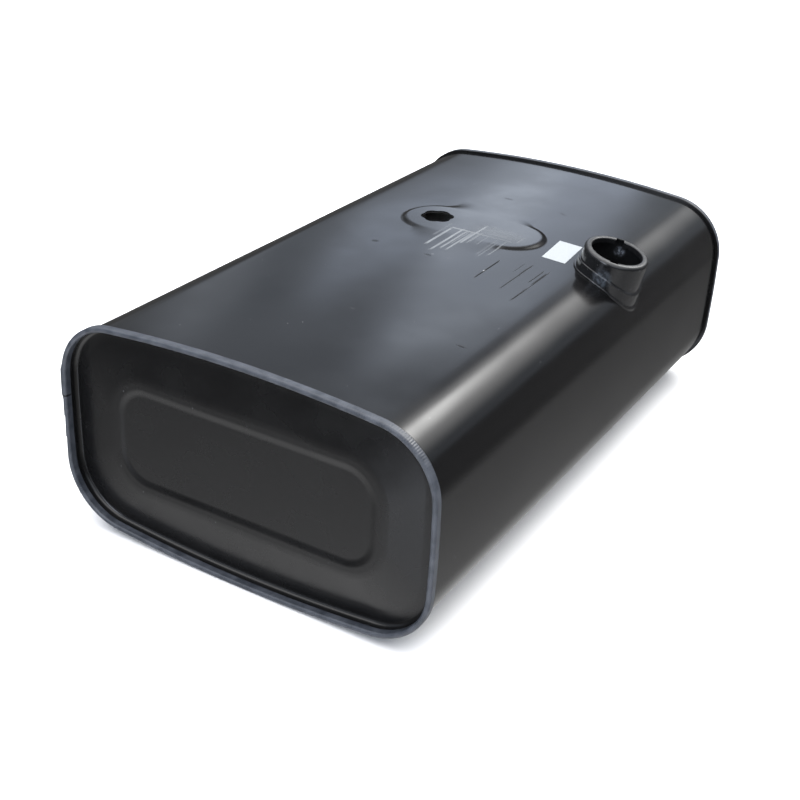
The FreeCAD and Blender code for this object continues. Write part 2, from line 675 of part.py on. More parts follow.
def add_neck_ring(body, name, radius, height, rounding):
    """A ring round the neck that ends at an even height above the shell's sheet."""
    make_ring("Pad", neck_sketch(body, name), radius, NECK_LENGTH, bore=s.neck_radius + s.fit_gap)
    crest = cut_outside(body, SHELL_OUTSIDE - height)
    outline = crest.Profile[0]

    def lies_round_crest(edge):
        return all(abs(off_neck_axis(spot) - radius.value) < TOUCH
                   and lies_near(outline, Vector(0, spot.y, spot.z)) for spot in spots_on(edge))

    blend(body, crest, lies_round_crest, rounding)


def make_neck_collar():
    """A stepped ring round the neck's foot that follows the shell."""
    body = new_body("neck_collar")
    add_neck_ring(body, "foot_ring", s.foot_ring_radius, s.foot_ring_height, s.foot_ring_round)
    add_neck_ring(body, "ring", s.collar_radius, s.collar_height, s.collar_round)
    cut_inside(body, SHELL_OUTSIDE)
    return body


def make_sender_ring():
    """A flat ring under the sender hole, with the same lobes."""
    body = new_body("sender_ring")
    top = PAD_TOP - s.sheet
    make_ring("Pad", sketch_at(body, "ring", (SENDER_X, SENDER_Y, top)), s.ring_radius, s.ring_thickness)
    cut_sender_hole(body, top, s.ring_thickness)
    return body


def make_baffle(label, side):
    """A surge plate with a flange against the shell, three holes and two notches."""
    body = new_body(label)
    outward = side == REAR
    web = sketch_on(body, "web", "YZ_Plane", s.baffle_x * side)
    add_section(web, SHELL_INSIDE)
    plate = extrude("Pad", web, s.baffle_flange, outward)
    hollow = sketch_on(body, "hollow", "YZ_Plane", (s.baffle_x + s.baffle_sheet) * side)
    add_section(hollow, SHELL_INSIDE + s.baffle_sheet)
    pan = extrude("Pocket", hollow, s.baffle_flange, outward)
    inner = (s.baffle_x + s.baffle_sheet).value * side
    bent = blend(body, pan, lambda e: lies_at_x(e, inner), s.baffle_bend)
    outer = s.baffle_x.value * side
    blend(body, bent, lambda e: lies_at_x(e, outer), s.baffle_bend + s.baffle_sheet)
    holes = sketch_on(body, "holes", "YZ_Plane", s.baffle_x * side)
    add_circle(holes, s.baffle_hole, y=MIDDLE)
    add_circle(holes, s.baffle_hole, x=s.baffle_hole_pitch, y=MIDDLE)
    add_circle(holes, s.baffle_hole, x=s.baffle_hole_pitch * -1, y=MIDDLE)
    add_circle(holes, s.baffle_notch, y=SHELL_INSIDE)
    add_circle(holes, s.baffle_notch, y=s.tank_height - SHELL_INSIDE)
    extrude("Pocket", holes, s.baffle_flange, outward)
    return body


def make_drain_boss():
    """A threaded boss through the bottom sheet, a little proud of it outside."""
    body = new_body("drain_boss")
    make_ring("Pad", drain_sketch(body, "boss", DRAIN_FACE), s.drain_radius, s.drain_height,
              forward=True, bore=s.drain_bore)
    return body


def make_drain_plug():
    """A low plug with a hexagonal key hole in its head."""
    body = new_body("drain_plug")
    make_ring("Pad", drain_sketch(body, "head", PLUG_FACE), s.plug_head_radius, s.plug_head, forward=True)
    make_ring("Pad", drain_sketch(body, "shank", PLUG_FACE), s.drain_bore - s.plug_play,
              s.plug_head + s.washer_thickness + s.plug_shank, forward=True)
    key = drain_sketch(body, "key", PLUG_FACE)
    add_hexagon(key, s.plug_key)
    extrude("Pocket", key, s.plug_key_depth, forward=True)
    return body


def make_drain_washer():
    """The flat ring that seals the plug."""
    body = new_body("drain_washer")
    make_ring("Pad", drain_sketch(body, "washer", DRAIN_FACE), s.plug_head_radius, s.washer_thickness,
              bore=s.drain_bore + s.washer_gap)
    return body


def make_label():
    """A thin paper label that follows the top's bow."""
    body = new_body("label")
    outline = sketch_at(body, "label_outline", (s.label_x, LABEL_Y, s.tank_height))
    add_rectangle(outline, s.label_length, s.label_width, s.label_turn)
    extrude("Pad", outline, s.corner_radius, forward=False)
    cut_inside(body, SHELL_OUTSIDE - s.label_glue)
    cut_outside(body, SHELL_OUTSIDE - s.label_glue - s.label_thickness)
    return body


def make_parts():
    """Every piece of the tank, in the order in which they are put together."""
    shell = make_shell()
    return [
        shell,
        make_end_plate("end_plate_front", FRONT, shell),
        make_end_plate("end_plate_rear", REAR, shell),
        make_baffle("baffle_front", FRONT),
        make_baffle("baffle_rear", REAR),
        make_filler_neck(),
        make_neck_collar(),
        make_sender_ring(),
        make_drain_boss(),
        make_drain_plug(),
        make_drain_washer(),
        make_label(),
    ]


def check(pieces):
    """Stop if anything in the document failed or a piece has no valid solid."""
    failed = [f"{o.Name}: {o.getStatusString()}" for o in doc.Objects
              if any(word in o.State for word in ("Invalid", "Error"))]
    failed += [p.Label for p in pieces if p.Shape.isNull() or not p.Shape.isValid() or not p.Shape.Solids]
    if failed:
        raise RuntimeError(f"these failed to build: {failed}")


def export(pieces):
    """Write one file per piece, named after its label."""
    os.makedirs("parts", exist_ok=True)
    for piece in pieces:
        piece.Shape.exportStep(f"parts/{piece.Label}.step")


pieces = make_parts()
doc.recompute()
check(pieces)
export(pieces)
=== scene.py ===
"""Looks of a black sheet-steel truck fuel tank, in metres, +Z up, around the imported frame."""

import math

import bmesh
import bpy
from mathutils import Matrix, Vector, noise as wander


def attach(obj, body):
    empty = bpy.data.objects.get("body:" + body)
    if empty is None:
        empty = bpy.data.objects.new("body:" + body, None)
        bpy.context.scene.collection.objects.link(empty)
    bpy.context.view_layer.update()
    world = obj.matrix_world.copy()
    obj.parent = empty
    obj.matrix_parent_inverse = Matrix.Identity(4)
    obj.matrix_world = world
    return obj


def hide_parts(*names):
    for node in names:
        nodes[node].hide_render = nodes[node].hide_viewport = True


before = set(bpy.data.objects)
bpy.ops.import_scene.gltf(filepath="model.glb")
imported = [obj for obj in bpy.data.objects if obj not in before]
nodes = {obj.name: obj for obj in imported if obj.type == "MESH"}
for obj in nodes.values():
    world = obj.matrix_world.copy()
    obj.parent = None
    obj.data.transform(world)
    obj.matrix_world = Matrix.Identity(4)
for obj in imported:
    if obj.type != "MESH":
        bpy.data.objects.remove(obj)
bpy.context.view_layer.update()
scene = bpy.context.scene

# Sizes of the tank's section, which the sheet follows: all from the centre of the section.
MIDDLE = 0.175
CROWN_CENTRE, CROWN_RADIUS = -1.990863, 2.165863
SIDE_CENTRE, SIDE_RADIUS = -1.945238, 2.255238
CORNER_Y, CORNER_Z, CORNER_RADIUS = 0.210011, 0.065303, 0.099
SKIN = 0.0048
SHEET = 0.0016
SHELL_END = 0.511

# The pressed pad on top, the lobed hole in it, and the neck's and drain's holes.
PAD_X, PAD_Y, PAD_TOP = 0.132, 0.00085, 0.3455
PAD_HALF_LENGTH, PAD_HALF_WIDTH, PAD_RUN, PAD_FADE = 0.12055, 0.054, 0.0085, 0.035
SENDER = (0.134, 0.0707)
SENDER_BORE, LOBE_RADIUS, LOBE_REACH, LOBE_TURN = 0.0252, 0.014, 0.0282, 60
NECK_MOUTH, NECK_TILT, NECK_HOLE = (0.126, -0.2578, 0.3658), 12.5, 0.0521
DRAIN, DRAIN_HOLE = (-0.060, 0.0), 0.01805
LAP_Z, LAP_HALF, LAP_FLANK, LAP_RISE = 0.230, 0.009, 0.0048, 0.0016

# Places in the looks: above TOP_FROM is the top sheet, beyond RIM_FROM the folded rim.
TOP_FROM = 0.33
RIM_FROM, RIM_FULL = 0.5092, 0.5106
RIM_JOINT_Z, RIM_JOINT_FROM_Y = 0.2085, 0.29
RIPPLE_PITCH = 0.0037
# Centres of a painted reflection inside the neck and of a painted sheen on the front of the neck and collar.
INNER_PAINTED_REFLECTION, FRONT_PAINTED_SHEEN = (0.1750, -0.2433, 0.3460), (0.0737, -0.2570, 0.3366)

# Spacing of the sheet's rings of vertices, and its slight waves, which leave the fittings' seats.
FINE_SPAN, FINE_STEP, COARSE_STEP = (0.060, 0.206), 0.0026, 0.0145
NECK_FOOT, WAVE_DEPTH = (0.126, -0.21), 0.0005


def ease(value, low, high):
    """Smoothly 0 to 1 while value goes from low to high."""
    t = min(max((value - low) / (high - low), 0), 1)
    return t * t * (3 - 2 * t)


# Camera

def add_camera():
    """The photograph's viewpoint: 60 degrees round from the -Y side, 28 degrees up, slightly rolled."""
    azimuth, elevation, roll = (math.radians(a) for a in (-60.386, 28.019, 3.135))
    back = Vector((math.sin(azimuth) * math.cos(elevation),
                   -math.cos(azimuth) * math.cos(elevation), math.sin(elevation)))
    level = Vector((math.cos(azimuth), math.sin(azimuth), 0))
    upright = level.cross(-back)
    right = math.cos(roll) * level + math.sin(roll) * upright
    up = -math.sin(roll) * level + math.cos(roll) * upright
    data = bpy.data.cameras.new("camera")
    data.sensor_fit = "HORIZONTAL"
    data.sensor_width = 36
    data.lens = 59.694
    data.clip_end = 60
    camera = bpy.data.objects.new("camera", data)
    turn = Matrix((right, up, back)).transposed().to_4x4()
    camera.matrix_world = Matrix.Translation((-1.7352, -0.9387, 1.1206)) @ turn
    scene.collection.objects.link(camera)
    scene.camera = camera


# Node helpers

def add_node(tree, kind, inputs=None, **settings):
    """A shader node with its settings, and its inputs given as values or as links."""
    node = tree.nodes.new(kind)
    for key, value in settings.items():
        setattr(node, key, value)
    for key, value in (inputs or {}).items():
        socket = node.inputs[key]
        if isinstance(value, bpy.types.NodeSocket):
            tree.links.new(value, socket)
        else:
            socket.default_value = value
    return node


def maths(tree, operation, a, b=0.0, c=0.0):
    inputs = {0: a, 1: b, 2: c}
    return add_node(tree, "ShaderNodeMath", inputs, operation=operation).outputs[0]


def ramp(tree, value, low, high, to_low=0.0, to_high=1.0):
    """Ease a value from to_low at low to to_high at high."""
    inputs = {"Value": value, "From Min": low, "From Max": high, "To Min": to_low, "To Max": to_high}
    return add_node(tree, "ShaderNodeMapRange", inputs, interpolation_type="SMOOTHSTEP").outputs[0]


def mix_colour(tree, share, a, b, blend="MIX"):
    node = add_node(tree, "ShaderNodeMix", {0: share, 6: a, 7: b}, data_type="RGBA", blend_type=blend)
    return node.outputs[2]


def noise(tree, vector, scale, detail=2.0, roughness=0.5):
    inputs = {"Vector": vector, "Scale": scale, "Detail": detail, "Roughness": roughness}
    return add_node(tree, "ShaderNodeTexNoise", inputs).outputs[0]


def stretched(tree, vector, scale):
    """A place scaled differently along each axis, for grain that runs one way."""
    inputs = {"Vector": vector, "Scale": scale}
    return add_node(tree, "ShaderNodeMapping", inputs).outputs[0]


def product(tree, *factors):
    total = factors[0]
    for factor in factors[1:]:
        total = maths(tree, "MULTIPLY", total, factor)
    return total


def largest(tree, *values):
    most = values[0]
    for value in values[1:]:
        most = maths(tree, "MAXIMUM", most, value)
    return most


# Studio

# Panels of light and dark, each laid over the ones before: edges in degrees, softness, radiance.
PANELS = [
    ((-100.0, 15.0, 16.0, 60.0), 2.0, (0.41, 0.45, 0.50, 1)),
    ((-100.0, 12.0, -12.0, 13.0), 4.0, (0.16, 0.16, 0.16, 1)),
    ((36.5, 40.0, 8.0, 22.0), 1.5, (0.36, 0.40, 0.46, 1)),
    ((40.0, 43.5, 13.0, 23.0), 1.5, (0.70, 0.76, 0.86, 1)),
    ((44.5, 90.0, 5.0, 32.0), 2.0, (0.27, 0.285, 0.305, 1)),
    ((-200.0, 200.0, 43.0, 120.0), 9.0, (3.1, 3.1, 3.15, 1)),
    ((17.0, 28.5, 15.5, 29.8), 1.6, (1.20, 1.35, 1.62, 1)),
    ((18.8, 28.0, 26.5, 29.8), 1.4, (2.05, 2.25, 2.58, 1)),
    ((17.0, 28.5, 17.0, 23.0), 1.8, (1.45, 1.62, 1.95, 1)),
    ((23.0, 28.5, 17.5, 21.5), 1.2, (2.25, 2.48, 2.85, 1)),
    ((28.5, 35.0, 15.0, 21.5), 1.5, (1.15, 1.30, 1.58, 1)),
    ((8.0, 16.8, 24.5, 32.0), 1.4, (0.80, 0.86, 0.96, 1)),
    ((-46.0, 3.0, 27.0, 60.0), 8.0, (3.2, 3.2, 3.2, 1)),
    ((-26.0, -4.5, 37.0, 60.0), 5.0, (16.0, 16.0, 15.8, 1)),
    ((168.0, 179.0, -32.0, 30.0), 5.0, (3.2, 3.4, 3.8, 1)),
    ((158.0, 178.0, 14.0, 32.0), 5.0, (6.5, 7.0, 8.0, 1)),
    ((-162.0, -120.0, 14.0, 34.0), 6.0, (1.6, 1.7, 1.9, 1)),
]


def window(tree, azimuth, elevation, box, blur):
    """Mask of a soft rectangular panel of light, from its edges in degrees."""
    west, east, low, high = box
    return product(tree,
                   ramp(tree, azimuth, west - blur, west + blur),
                   ramp(tree, azimuth, east + blur, east - blur),
                   ramp(tree, elevation, low - blur, low + blur),
                   ramp(tree, elevation, high + blur, high - blur))


def add_studio():
    """A grey room with a bright ceiling, a pale floor and soft panels of light, for the paint to mirror."""
    world = bpy.data.worlds.new("studio")
    world.use_nodes = True
    scene.world = world
    tree = world.node_tree
    tree.nodes.clear()
    direction = add_node(tree, "ShaderNodeTexCoord").outputs["Generated"]
    parts = add_node(tree, "ShaderNodeSeparateXYZ", {0: direction}).outputs
    degrees = 180 / math.pi
    azimuth = maths(tree, "MULTIPLY", maths(tree, "ARCTAN2", parts[1], parts[0]), degrees)
    elevation = maths(tree, "MULTIPLY", maths(tree, "ARCSINE", parts[2]), degrees)
    horizon = (0.12, 0.12, 0.12, 1)
    near_floor = mix_colour(tree, ramp(tree, elevation, -15.0, -52.0), horizon, (1.6, 1.6, 1.62, 1))
    far_floor = mix_colour(tree, ramp(tree, elevation, -14.0, -56.0), horizon, (0.74, 0.74, 0.74, 1))
    away = maths(tree, "ABSOLUTE", azimuth)
    light = mix_colour(tree, ramp(tree, away, 112.0, 152.0), far_floor, near_floor)
    light = mix_colour(tree, ramp(tree, elevation, 7.0, 15.0), light, (0.53, 0.58, 0.66, 1))
    for box, blur, colour in PANELS:
        light = mix_colour(tree, window(tree, azimuth, elevation, box, blur), light, colour)
    shade = add_node(tree, "ShaderNodeBackground", {"Color": light, "Strength": 1.0})
    add_node(tree, "ShaderNodeOutputWorld", {"Surface": shade.outputs[0]})


def add_floor():
    bm = bmesh.new()
    bmesh.ops.create_grid(bm, x_segments=1, y_segments=1, size=14)
    mesh = bpy.data.meshes.new("floor")
    bm.to_mesh(mesh)
    bm.free()
    floor = bpy.data.objects.new("floor", mesh)
    scene.collection.objects.link(floor)
    material = bpy.data.materials.new("floor")
    material.use_nodes = True
    shader = material.node_tree.nodes["Principled BSDF"]
    shader.inputs["Base Color"].default_value = (0.93, 0.93, 0.93, 1)
    shader.inputs["Roughness"].default_value = 0.9
    mesh.materials.append(material)
    floor.visible_glossy = False


# Materials

def new_material(name):
    material = bpy.data.materials.new(name)
    material.use_nodes = True
    tree = material.node_tree
    place = add_node(tree, "ShaderNodeTexCoord").outputs["Object"]
    return material, tree, tree.nodes["Principled BSDF"], place


def set_inputs(tree, shader, **values):
    """Set or link inputs of a shader, named with underscores for spaces."""
    for name, value in values.items():
        socket = shader.inputs[name.replace("_", " ")]
        if isinstance(value, bpy.types.NodeSocket):
            tree.links.new(value, socket)
        else:
            socket.default_value = value


def orange_peel(tree, place, strength, under=None):
    """The fine dimpled skin of sprayed paint, as a bump."""
    inputs = {"Height": noise(tree, place, 420.0), "Strength": strength, "Distance": 0.0002}
    if under:
        inputs["Normal"] = under
    return add_node(tree, "ShaderNodeBump", inputs).outputs[0]


def dust(tree, place, scale, size):
    """Mask of sparse small specks."""
    cells = add_node(tree, "ShaderNodeTexVoronoi", {"Vector": place, "Scale": scale}).outputs
    draw = add_node(tree, "ShaderNodeSeparateColor", {0: cells["Color"]}).outputs[0]
    chosen = maths(tree, "GREATER_THAN", draw, 0.86)
    return product(tree, chosen, ramp(tree, cells["Distance"], size, size * 0.4))


def on_top(tree, parts):
    """1 on the top sheet."""
    return maths(tree, "GREATER_THAN", parts[2], TOP_FROM)


def from_line(tree, value, line):
    """Distance of a coordinate from a straight line."""
    return maths(tree, "ABSOLUTE", maths(tree, "SUBTRACT", value, line))


def stroke(tree, parts, grain, x_span, y, width, strength, soft=0.012):
    """Mask of a rub mark along X on the top sheet, ragged at its ends."""
    x = maths(tree, "ADD", parts[0], maths(tree, "MULTIPLY", grain, 0.03))
    start, end = x_span
    along = product(tree, ramp(tree, x, start, start + soft), ramp(tree, x, end, end - soft))
    across = ramp(tree, from_line(tree, parts[1], y), width, width * 0.25)
    return product(tree, along, across, on_top(tree, parts), strength)


# Strokes on the top sheet, pale rubs and dark scores: span along X, Y, half width, strength.
RUBS = [
    ((0.010, 0.108), 0.0240, 0.0034, 1.0), ((0.050, 0.125), 0.0335, 0.0030, 0.35),
    ((-0.010, 0.112), 0.0055, 0.0034, 1.0), ((0.010, 0.110), -0.0040, 0.0028, 0.85),
    ((0.035, 0.110), -0.0085, 0.0020, 0.5), ((0.005, 0.112), -0.0145, 0.0030, 0.85),
    ((0.045, 0.150), -0.0190, 0.0036, 0.95), ((0.055, 0.118), -0.0275, 0.0036, 0.55),
    ((0.110, 0.158), -0.0250, 0.0022, 0.25), ((0.118, 0.158), -0.0325, 0.0040, 0.4),
    ((0.060, 0.105), -0.0370, 0.0022, 0.3), ((0.055, 0.110), -0.0435, 0.0022, 0.35),
    ((0.108, 0.155), -0.0410, 0.0022, 0.2), ((0.108, 0.158), -0.0490, 0.0024, 0.2),
    ((0.108, 0.156), -0.0560, 0.0022, 0.22), ((0.108, 0.158), -0.0630, 0.0022, 0.2),
    ((0.020, 0.098), -0.0620, 0.0022, 0.3), ((0.015, 0.095), -0.0675, 0.0020, 0.3),
    ((0.108, 0.156), -0.0720, 0.0022, 0.25), ((0.030, 0.105), -0.0780, 0.0024, 0.45),
    ((0.104, 0.150), -0.0850, 0.0030, 0.35), ((0.100, 0.140), -0.0930, 0.0032, 0.5),
]
SCORES = [
    ((-0.060, 0.032), -0.1030, 0.0018, 0.95), ((-0.070, 0.055), -0.1512, 0.0014, 0.7),
    ((0.000, 0.040), -0.1506, 0.0018, 0.6), ((-0.018, 0.045), -0.1745, 0.0014, 0.7),
    ((-0.095, -0.030), -0.1822, 0.0016, 0.8), ((-0.020, 0.035), -0.1818, 0.0020, 0.9),
    ((-0.090, 0.050), -0.1830, 0.0010, 0.6), ((0.000, 0.050), -0.1390, 0.0010, 0.4),
]

# Soft ovals on the top sheet, dark smudges and pale chips: centre, half lengths, turn, strength.
SMUDGES = [
    ((0.075, -0.062, 0), (0.008, 0.011), 0.0, 0.2), ((0.290, 0.015, 0), (0.004, 0.012), -0.1, 0.22),
    ((0.284, -0.093, 0), (0.004, 0.012), -0.5, 0.22), ((-0.271, -0.198, 0), (0.0025, 0.010), 0.0, 0.8),
    ((-0.028, -0.003, 0), (0.004, 0.009), 0.0, 0.4), ((-0.022, 0.097, 0), (0.006, 0.009), 0.0, 0.4),
]
CHIPS = [
    ((-0.024, -0.1025, 0), (0.0040, 0.0022), 0.0, 1.0), ((-0.019, -0.008, 0), (0.003, 0.004), 0.0, 0.10),
    ((-0.270, -0.020, 0), (0.002, 0.006), 0.0, 0.05),
]
RUBBED_PATCH = ((0.126, -0.052, 0), (0.030, 0.068), 0.0, 0.42)
RUBBED_EDGE_X = 0.1035


def blot(tree, place, centre, size, turn, strength):
    """Mask of one soft oval mark on the top sheet."""
    inputs = {"Vector": place, "Location": centre, "Rotation": (0, 0, turn), "Scale": (*size, 1.0)}
    local = add_node(tree, "ShaderNodeMapping", inputs, vector_type="TEXTURE").outputs[0]
    flat = add_node(tree, "ShaderNodeVectorMath", {0: local, 1: (1, 1, 0)}, operation="MULTIPLY").outputs[0]
    apart = add_node(tree, "ShaderNodeVectorMath", {0: flat}, operation="LENGTH").outputs["Value"]
    return product(tree, ramp(tree, apart, 1.0, 0.3), strength)


def ball(tree, place, centre, radius):
    """Mask that fades with the distance from a point."""
    inputs = {0: place, 1: centre}
    apart = add_node(tree, "ShaderNodeVectorMath", inputs, operation="DISTANCE").outputs["Value"]
    return ramp(tree, apart, radius, radius * 0.2)


def away_from_pad(tree, parts):
    """How far a place is outside the pad's flat, level."""
    along = maths(tree, "SUBTRACT", maths(tree, "ABSOLUTE", maths(tree, "SUBTRACT", parts[1], PAD_Y)),
                  PAD_HALF_LENGTH - PAD_HALF_WIDTH)
    flat = add_node(tree, "ShaderNodeCombineXYZ", {0: maths(tree, "SUBTRACT", parts[0], PAD_X),
                                                   1: maths(tree, "MAXIMUM", along, 0.0)}).outputs[0]
    length = add_node(tree, "ShaderNodeVectorMath", {0: flat}, operation="LENGTH").outputs["Value"]
    return maths(tree, "SUBTRACT", length, PAD_HALF_WIDTH)


def rub_marks(tree, place, parts, grain):
    """Mask of where handling has rubbed the paint pale."""
    strokes = largest(tree, *(stroke(tree, parts, grain, *rub) for rub in RUBS))
    broken = ramp(tree, noise(tree, stretched(tree, place, (20, 520, 1)), 1.0, 2.0), 0.3, 0.6, 0.5, 1.0)
    crossed = ramp(tree, noise(tree, stretched(tree, place, (420, 22, 1)), 1.0, 3.0), 0.35, 0.65, 0.45, 1.0)
    edge = product(tree, ramp(tree, from_line(tree, parts[0], RUBBED_EDGE_X), 0.004, 0.001),
                   ramp(tree, parts[1], -0.095, -0.080), ramp(tree, parts[1], 0.030, 0.022),
                   ramp(tree, parts[1], -0.060, 0.0, 0.35, 0.8), on_top(tree, parts))
    patch = product(tree, blot(tree, place, *RUBBED_PATCH), crossed)
    return largest(tree, product(tree, strokes, broken), edge, patch)


def dark_marks(tree, place, parts, grain):
    """Mask of the scores and smudges."""
    scores = (stroke(tree, parts, grain, *score) for score in SCORES)
    smudges = (blot(tree, place, *smudge) for smudge in SMUDGES)
    return largest(tree, *scores, *smudges)


def pad_step_painted_shade(tree, parts):
    """Mask of painted shade on the step at the pad's two ends, stronger at the near one: the paint shines
    less there.
    """
    out = away_from_pad(tree, parts)
    return product(tree, ramp(tree, out, 0.0, 0.002), ramp(tree, out, 0.0095, 0.0075),
                   ramp(tree, maths(tree, "ABSOLUTE", parts[1]), 0.062, 0.090),
                   ramp(tree, parts[1], 0.05, -0.05, 0.5, 1.0), on_top(tree, parts))


def make_shell_paint():
    """Gloss black paint on the wrapped sheet, with the rub marks and scores of handling, and painted shade on
    the pad's end steps.
    """
    material, tree, shader, place = new_material("shell_paint")
    parts = add_node(tree, "ShaderNodeSeparateXYZ", {0: place}).outputs
    grain = maths(tree, "SUBTRACT", noise(tree, stretched(tree, place, (24, 620, 1)), 1.0, 3.0), 0.5)
    rubbed = rub_marks(tree, place, parts, grain)
    dark = dark_marks(tree, place, parts, grain)
    pale = largest(tree, *(blot(tree, place, *chip) for chip in CHIPS),
                   product(tree, dust(tree, place, 60.0, 0.05), 0.35))
    tone = mix_colour(tree, noise(tree, place, 4.0), (0.0028, 0.0028, 0.003, 1), (0.004, 0.004, 0.0044, 1))
    tone = mix_colour(tree, product(tree, rubbed, 0.85), tone, (0.225, 0.24, 0.255, 1))
    tone = mix_colour(tree, pale, tone, (0.6, 0.6, 0.62, 1))
    tone = mix_colour(tree, dark, tone, (0.003, 0.003, 0.0035, 1))
    rough = ramp(tree, noise(tree, place, 9.0, 4.0), 0.3, 0.7, 0.13, 0.19)
    rough = maths(tree, "ADD", rough, product(tree, largest(tree, rubbed, dark), 0.35))
    # The scores lose shine, and the pad's end steps lose shine as painted shade.
    dulling_and_painted_shade = largest(tree, product(tree, dark, 0.38), product(tree, pad_step_painted_shade(tree, parts), 0.45))
    shine = maths(tree, "SUBTRACT", 0.5, dulling_and_painted_shade)
    scored = add_node(tree, "ShaderNodeBump", {"Height": dark, "Strength": 0.5, "Distance": -0.0004})
    wave = add_node(tree, "ShaderNodeBump", {"Height": noise(tree, place, 5.0, 1.0), "Strength": 0.25,
                                             "Distance": 0.004, "Normal": scored.outputs[0]})
    set_inputs(tree, shader, Base_Color=tone, Roughness=rough, IOR=1.45, Specular_IOR_Level=shine,
               Normal=orange_peel(tree, place, 0.05, wave.outputs[0]))
    return material


def along_rim(tree, parts):
    """Length along the rim's rounded outline, measured from the middle of its top or bottom."""
    y = maths(tree, "ABSOLUTE", parts[1])
    z = maths(tree, "ABSOLUTE", maths(tree, "SUBTRACT", parts[2], MIDDLE))
    past_y = maths(tree, "MAXIMUM", maths(tree, "SUBTRACT", y, CORNER_Y), 0.0)
    past_z = maths(tree, "MAXIMUM", maths(tree, "SUBTRACT", z, CORNER_Z), 0.0)
    bend = maths(tree, "MULTIPLY", maths(tree, "ARCTAN2", past_y, past_z), CORNER_RADIUS)
    side = maths(tree, "MAXIMUM", maths(tree, "SUBTRACT", CORNER_Z, z), 0.0)
    return maths(tree, "ADD", maths(tree, "ADD", maths(tree, "MINIMUM", y, CORNER_Y), bend), side)


def make_plate_paint():
    """Satin black on the dished end, and a bluish worn coat with roller marks on its folded rim."""
    material, tree, shader, place = new_material("end_paint")
    parts = add_node(tree, "ShaderNodeSeparateXYZ", {0: place}).outputs
    rim = ramp(tree, maths(tree, "ABSOLUTE", parts[0]), RIM_FROM, RIM_FULL)
    haze = noise(tree, place, 14.0, 4.0)
    grime = noise(tree, place, 60.0, 5.0)
    specks = dust(tree, place, 75.0, 0.07)
    dish = mix_colour(tree, haze, (0.0032, 0.0032, 0.0035, 1), (0.0055, 0.0055, 0.0058, 1))
    dish = mix_colour(tree, product(tree, specks, 0.5), dish, (0.3, 0.3, 0.32, 1))
    coat = mix_colour(tree, ramp(tree, grime, 0.3, 0.7), (0.031, 0.036, 0.046, 1), (0.062, 0.069, 0.084, 1))
    worn = product(tree, ramp(tree, noise(tree, place, 25.0, 4.0, 0.7), 0.55, 0.75), 0.5)
    coat = mix_colour(tree, worn, coat, (0.10, 0.11, 0.125, 1))
    joint = product(tree, ramp(tree, from_line(tree, parts[2], RIM_JOINT_Z), 0.0022, 0.0008),
                    maths(tree, "GREATER_THAN", parts[1], RIM_JOINT_FROM_Y), rim)
    coat = mix_colour(tree, joint, coat, (0.004, 0.004, 0.005, 1))
    ripple = maths(tree, "SINE", maths(tree, "MULTIPLY", along_rim(tree, parts), 2 * math.pi / RIPPLE_PITCH))
    ripple = product(tree, ripple, ramp(tree, noise(tree, place, 7.0), 0.35, 0.6, 0.25, 1.0), rim)
    rolled = add_node(tree, "ShaderNodeBump", {"Height": ripple, "Strength": 0.45, "Distance": 0.0003})
    step = add_node(tree, "ShaderNodeBump", {"Height": joint, "Strength": 1.0, "Distance": -0.0008,
                                             "Normal": rolled.outputs[0]})
    rough = add_node(tree, "ShaderNodeMix", {0: rim, 2: ramp(tree, haze, 0.3, 0.7, 0.22, 0.30),
                                             3: ramp(tree, grime, 0.3, 0.7, 0.30, 0.44)}).outputs[0]
    set_inputs(tree, shader, Base_Color=mix_colour(tree, rim, dish, coat), Roughness=rough, IOR=1.45,
               Normal=orange_peel(tree, place, 0.10, step.outputs[0]))
    return material


def along_neck(tree, parts):
    """Height over the neck's mouth and distance from its axis, which leans."""
    lean = math.radians(NECK_TILT)
    x, y, z = (maths(tree, "SUBTRACT", part, mouth) for part, mouth in zip(parts, NECK_MOUTH))
    height = maths(tree, "ADD", product(tree, y, -math.sin(lean)), product(tree, z, math.cos(lean)))
    across = maths(tree, "ADD", product(tree, y, math.cos(lean)), product(tree, z, math.sin(lean)))
    return height, maths(tree, "SQRT", maths(tree, "ADD", product(tree, across, across), product(tree, x, x)))


def make_neck_paint():
    """Gloss black on the neck and its collar, with a painted highlight and patchy wear at the lip, a painted
    reflection inside and a painted sheen in front.
    """
    material, tree, shader, place = new_material("neck_paint")
    parts = add_node(tree, "ShaderNodeSeparateXYZ", {0: place}).outputs
    scuffed = noise(tree, place, 160.0, 4.0)
    height, radius = along_neck(tree, parts)
    # Painted highlight along the lip's crest, broken up by patchy wear.
    lip_highlight_and_wear = product(tree, ramp(tree, height, -0.0014, -0.0001), ramp(tree, scuffed, 0.35, 0.65, 0.4, 1.0))
    inside = ramp(tree, radius, 0.0512, 0.0508)
    # Pale painted reflection on the inner wall, and bluish painted sheen on the front of the neck and collar.
    inner_painted_reflection = product(tree, ball(tree, place, INNER_PAINTED_REFLECTION, 0.011), inside,
                          ramp(tree, scuffed, 0.42, 0.62, 0.1, 1.0))
    front_painted_sheen = product(tree, ball(tree, place, FRONT_PAINTED_SHEEN, 0.020),
                          ramp(tree, scuffed, 0.4, 0.65, 0.25, 1.0))
    tone = mix_colour(tree, scuffed, (0.006, 0.006, 0.0065, 1), (0.010, 0.0105, 0.0115, 1))
    tone = mix_colour(tree, inner_painted_reflection, tone, (0.30, 0.33, 0.38, 1))
    tone = mix_colour(tree, front_painted_sheen, tone, (0.065, 0.076, 0.092, 1))
    tone = mix_colour(tree, product(tree, lip_highlight_and_wear, 0.5), tone, (0.09, 0.09, 0.09, 1))
    tone = mix_colour(tree, product(tree, dust(tree, place, 240.0, 0.12), 0.5), tone, (0.35, 0.36, 0.38, 1))
    rough = maths(tree, "ADD", ramp(tree, scuffed, 0.3, 0.7, 0.14, 0.22), product(tree, inside, 0.15))
    set_inputs(tree, shader, Base_Color=tone, Roughness=rough, IOR=1.5,
               Normal=orange_peel(tree, place, 0.08))
    return material


